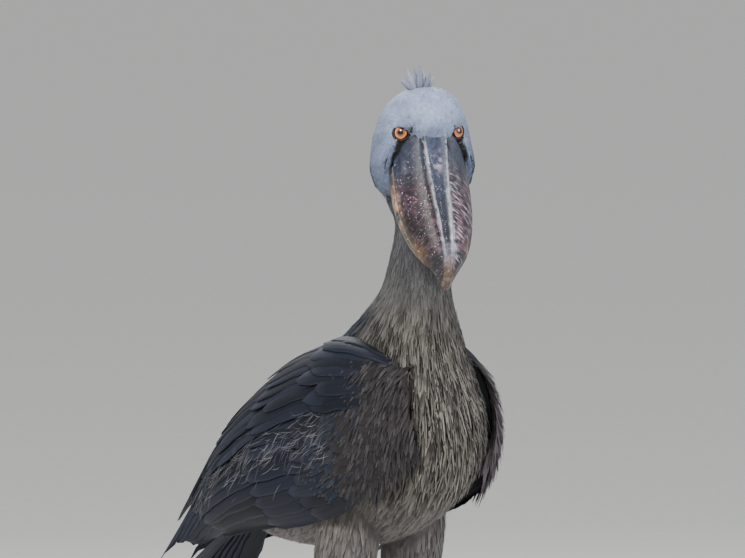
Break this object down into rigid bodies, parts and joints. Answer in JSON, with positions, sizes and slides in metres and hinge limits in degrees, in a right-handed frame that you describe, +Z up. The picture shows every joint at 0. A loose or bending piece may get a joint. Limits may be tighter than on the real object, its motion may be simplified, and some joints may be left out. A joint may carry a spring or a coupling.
{
  "type": "standing shoebill bird",
  "caption": "Life-size standing grey wading bird with a huge hooked bill held down, folded wings, a short tail and long legs with spread toes.",
  "frame": {"origin": "on the floor, under the middle of the bird's bounding box", "axes": "+Z up, the breast faces -Y, the bird's left side is +X"},
  "size_m": [0.3408, 0.6832, 1.2713],
  "materials": {
    "head_plumage": "short soft blue-grey feathers",
    "body_plumage": "loose grey feathers",
    "wing_plumage": "smooth dark slate feathers",
    "bill_horn": "worn mottled horn",
    "eye": "wet and glossy, opaque iris",
    "leg_skin": "dark scaly skin",
    "claw_horn": "dark smooth horn"
  },
  "bodies": {
    "root": {"head": "head_plumage", "bill_upper": "bill_horn", "bill_lower": "bill_horn", "eye_left": "eye", "eye_right": "eye", "neck": "body_plumage", "torso": "body_plumage", "tail": "wing_plumage", "wing_left": "wing_plumage", "wing_right": "wing_plumage", "thigh_left": "body_plumage", "thigh_right": "body_plumage", "shank_left": "leg_skin", "shank_right": "leg_skin", "toe_middle_left": "leg_skin", "toe_middle_right": "leg_skin", "toe_inner_left": "leg_skin", "toe_inner_right": "leg_skin", "toe_outer_left": "leg_skin", "toe_outer_right": "leg_skin", "toe_hind_left": "leg_skin", "toe_hind_right": "leg_skin", "claw_middle_left": "claw_horn", "claw_middle_right": "claw_horn", "claw_inner_left": "claw_horn", "claw_inner_right": "claw_horn", "claw_outer_left": "claw_horn", "claw_outer_right": "claw_horn", "claw_hind_left": "claw_horn", "claw_hind_right": "claw_horn", "foot_left": "leg_skin", "foot_right": "leg_skin"}
  },
  "joints": []
}
